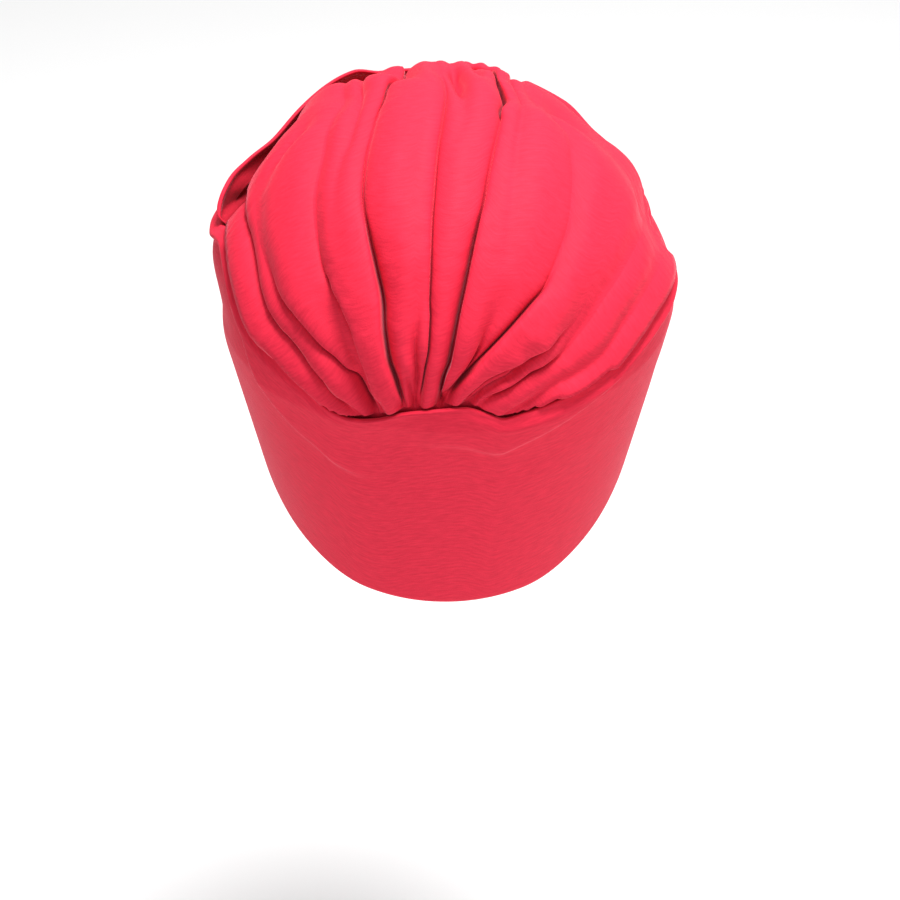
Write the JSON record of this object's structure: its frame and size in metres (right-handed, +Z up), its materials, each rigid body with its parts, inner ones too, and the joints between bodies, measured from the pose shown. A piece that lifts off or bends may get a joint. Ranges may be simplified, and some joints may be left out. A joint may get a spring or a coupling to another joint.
{
  "type": "turban hat",
  "caption": "Soft pull-on jersey turban hat with a pleated crown, a wide doubled band and drapes gathered under a wrapped knot at the front.",
  "frame": {"origin": "where the top of the head sits, inside the crown and on the hat's middle plane", "axes": "-Y is the way the wearer faces, +Y the back of the head, +Z up, +X the wearer's left"},
  "size_m": [0.1981, 0.2148, 0.1976],
  "materials": {
    "jersey": "matte coral red fine jersey"
  },
  "bodies": {
    "root": {"crown": "jersey", "band": "jersey", "drape_left": "jersey", "drape_right": "jersey", "knot": "jersey"}
  },
  "joints": []
}
